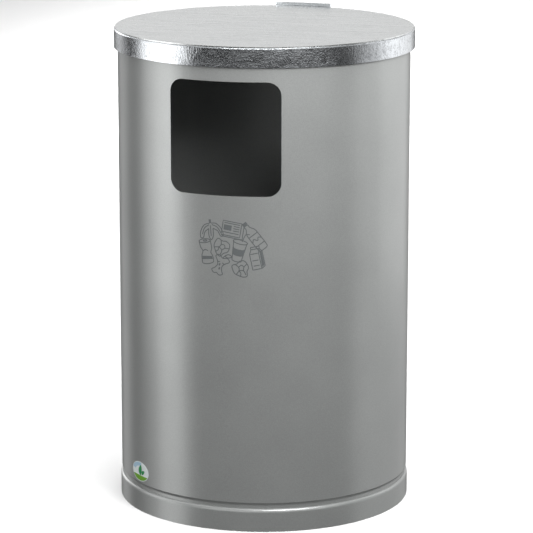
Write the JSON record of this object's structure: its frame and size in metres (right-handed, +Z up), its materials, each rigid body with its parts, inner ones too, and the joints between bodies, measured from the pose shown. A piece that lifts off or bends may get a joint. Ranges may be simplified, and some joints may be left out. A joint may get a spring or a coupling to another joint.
{
  "type": "litter bin",
  "caption": "Round steel litter bin with a square front inlet, a hinged flat lid that opens backwards, and a lift-out galvanised liner with a bail handle.",
  "frame": {"origin": "on the body's axis at ground level, in the middle of the foot ring's underside", "axes": "+Z up, -Y towards the front with the inlet, +Y towards the hinge, +X to the right of someone facing the inlet"},
  "size_m": [0.4059, 0.4255, 0.6545],
  "materials": {
    "powder_coat": "silver-grey metallic powder coat, satin",
    "galvanised": "hot-dip galvanised, fine spangle",
    "bright_steel": "zinc-plated, satin",
    "label_film": "printed vinyl film, gloss"
  },
  "bodies": {
    "body": {"body_shell": "powder_coat", "rim_hoop": "powder_coat", "foot_ring": "powder_coat", "floor_plate": "powder_coat", "hinge_bracket": "powder_coat", "backing_plate": "galvanised", "bracket_rivets": "bright_steel", "hinge_pin": "bright_steel", "pin_cap": "bright_steel", "label": "label_film"},
    "lid": {"lid_plate": "galvanised", "lid_hoop": "galvanised", "lid_hinge_leaf": "galvanised"},
    "liner": {"liner_wall": "galvanised", "liner_bottom": "galvanised", "liner_rim": "galvanised", "ear_left": "galvanised", "ear_right": "galvanised", "ear_rivets": "bright_steel"},
    "bail": {"bail_handle": "galvanised"}
  },
  "joints": [
    {"name": "lid_hinge", "type": "hinge", "parent": "body", "child": "lid", "pos_m": [0, 0.2115, 0.616], "axis": [-1, 0, 0], "range_deg": [0, 108]},
    {"name": "liner_lift", "type": "slide", "parent": "body", "child": "liner", "axis": [0, 0, 1], "range_m": [0, 0.27]},
    {"name": "bail_swing", "type": "hinge", "parent": "liner", "child": "bail", "pos_m": [0, 0, 0.3634], "axis": [-1, 0, 0], "range_deg": [0, 180.9]}
  ]
}
